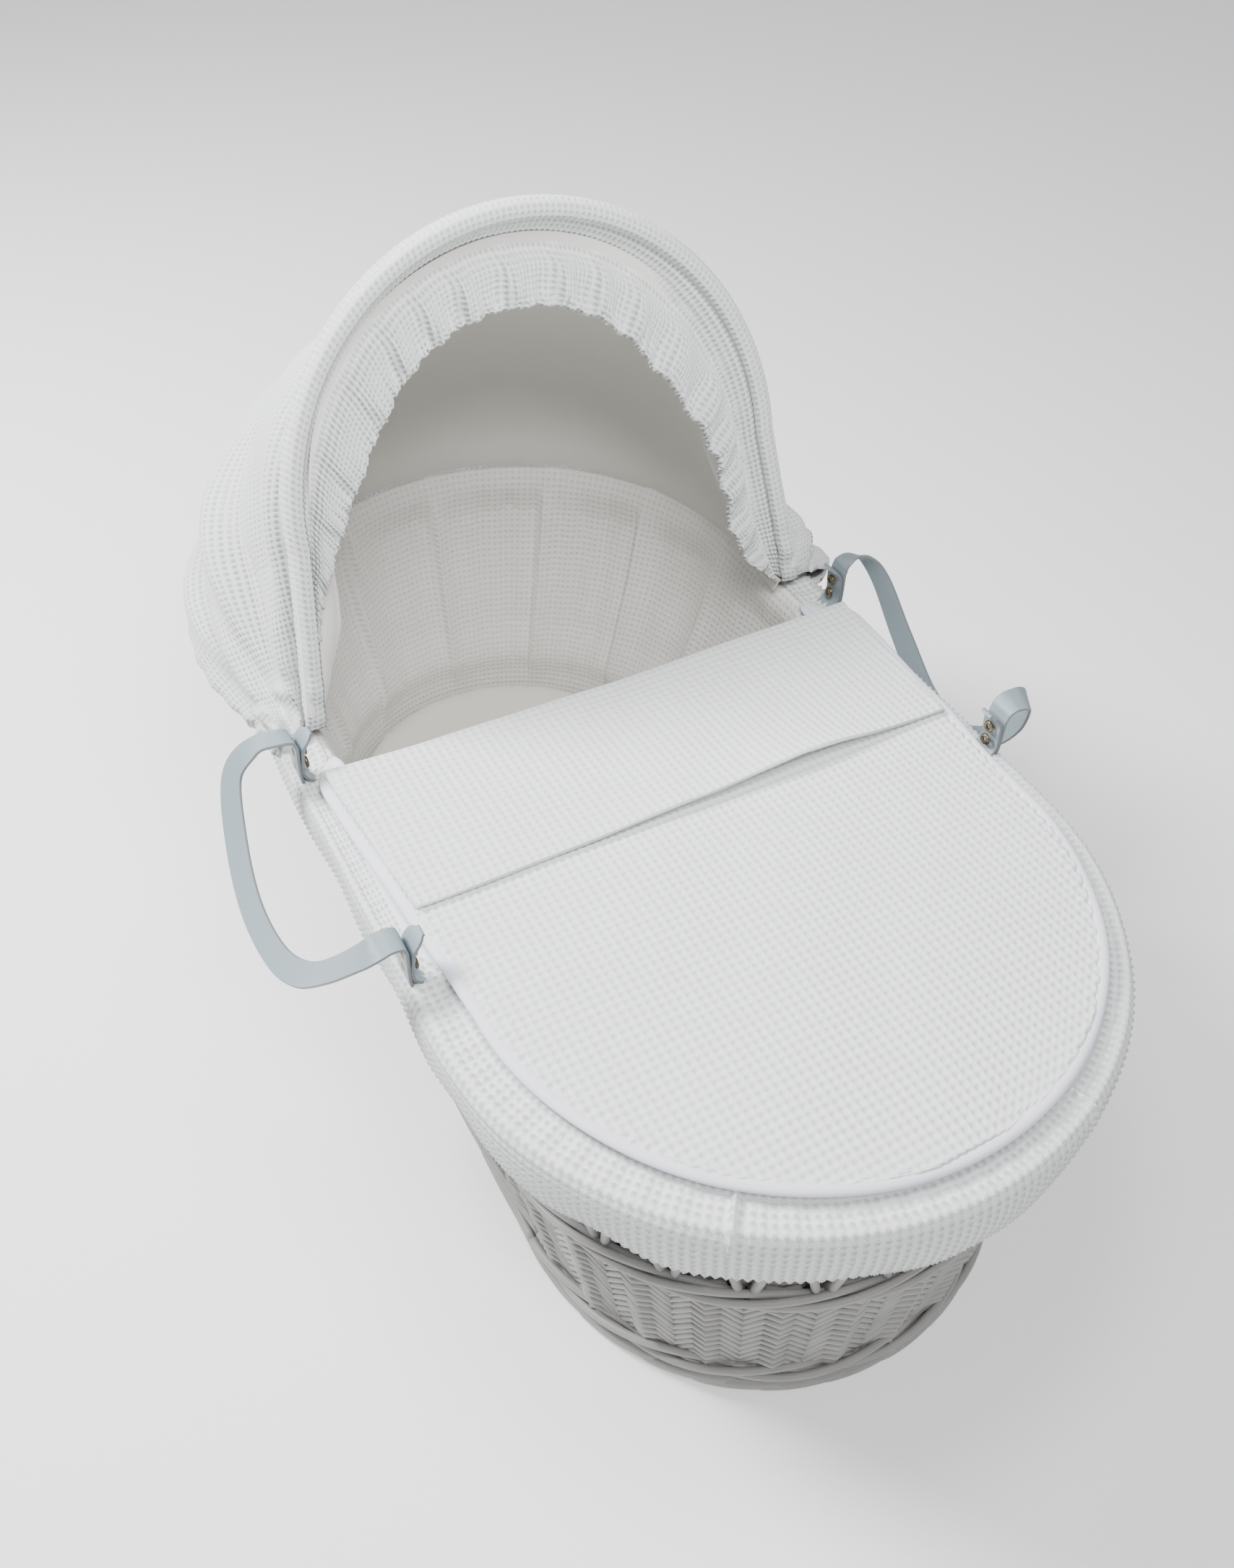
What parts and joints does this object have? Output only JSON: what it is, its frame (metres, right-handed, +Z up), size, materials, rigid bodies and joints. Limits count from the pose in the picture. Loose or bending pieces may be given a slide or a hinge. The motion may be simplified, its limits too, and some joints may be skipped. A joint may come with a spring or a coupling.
{
  "type": "moses basket",
  "caption": "Woven willow baby basket with padded cotton dressing, mattress, lift-off coverlet, folding hood and two carry straps.",
  "frame": {"origin": "middle of the base board's underside, on the surface that the basket stands on", "axes": "+Z up, +X from the hood towards the foot end, +Y towards the right-hand strap, as seen from the foot end looking towards the hood"},
  "size_m": [0.8183, 0.5602, 0.5775],
  "materials": {
    "willow": "white paint sprayed on woven willow",
    "hardboard": "white-painted hardboard",
    "waffle": "white waffle-weave cotton over wadding",
    "cotton": "plain white cotton binding",
    "mattress_cover": "plain white quilted cotton",
    "leatherette": "grey-blue leatherette with cut edges",
    "stud_metal": "dark antique brass",
    "hoop_steel": "white-coated spring steel wire"
  },
  "bodies": {
    "basket": {"foot_border": "willow", "woven_wall": "willow", "upper_wale": "willow", "stake_lattice": "willow", "rim_border": "willow", "base_board": "hardboard", "liner": "waffle", "cuff": "waffle", "hood_back_panel": "waffle", "hood_skirt": "waffle", "liner_floor": "cotton", "cuff_elastic": "cotton", "left_slot_binding": "cotton", "right_slot_binding": "cotton", "mattress": "mattress_cover", "left_head_strap_end": "leatherette", "left_foot_strap_end": "leatherette", "right_head_strap_end": "leatherette", "right_foot_strap_end": "leatherette", "left_head_stud_1": "stud_metal", "left_head_stud_2": "stud_metal", "left_foot_stud_1": "stud_metal", "left_foot_stud_2": "stud_metal", "right_head_stud_1": "stud_metal", "right_head_stud_2": "stud_metal", "right_foot_stud_1": "stud_metal", "right_foot_stud_2": "stud_metal", "left_head_stud_1_socket": "stud_metal", "left_head_stud_2_socket": "stud_metal", "left_foot_stud_1_socket": "stud_metal", "left_foot_stud_2_socket": "stud_metal", "right_head_stud_1_socket": "stud_metal", "right_head_stud_2_socket": "stud_metal", "right_foot_stud_1_socket": "stud_metal", "right_foot_stud_2_socket": "stud_metal"},
    "hood": {"hood_hoop": "hoop_steel", "hood_frill": "waffle", "hood_front_panel": "waffle"},
    "hood_upper": {"hood_upper_panel": "waffle"},
    "hood_middle": {"hood_middle_panel": "waffle"},
    "coverlet": {"coverlet_panel": "waffle", "coverlet_turnback": "waffle", "coverlet_binding": "cotton"},
    "left_strap": {"left_strap": "leatherette"},
    "right_strap": {"right_strap": "leatherette"}
  },
  "joints": [
    {"name": "hood_fold", "type": "hinge", "parent": "basket", "child": "hood", "pos_m": [-0.095, 0, 0.27685], "axis": [0, -1, 0], "range_deg": [0, 52.5]},
    {"name": "hood_upper_follow", "type": "hinge", "parent": "basket", "child": "hood_upper", "pos_m": [-0.095, 0, 0.27685], "axis": [0, -1, 0], "range_deg": [0, 35]},
    {"name": "hood_middle_follow", "type": "hinge", "parent": "basket", "child": "hood_middle", "pos_m": [-0.095, 0, 0.27685], "axis": [0, -1, 0], "range_deg": [0, 17.5]},
    {"name": "coverlet_lift", "type": "slide", "parent": "basket", "child": "coverlet", "axis": [0, 0, 1], "range_m": [0, 0.3]},
    {"name": "left_strap_swing", "type": "hinge", "parent": "basket", "child": "left_strap", "pos_m": [0, -0.22476, 0.3048], "axis": [-1, 0, 0], "range_deg": [0, 120]},
    {"name": "right_strap_swing", "type": "hinge", "parent": "basket", "child": "right_strap", "pos_m": [0, 0.22476, 0.3048], "axis": [1, 0, 0], "range_deg": [0, 120]}
  ],
  "couplings": [
    {"joint": "hood_upper_follow", "follows": "hood_fold", "ratio": 0.66667},
    {"joint": "hood_middle_follow", "follows": "hood_fold", "ratio": 0.33333}
  ]
}
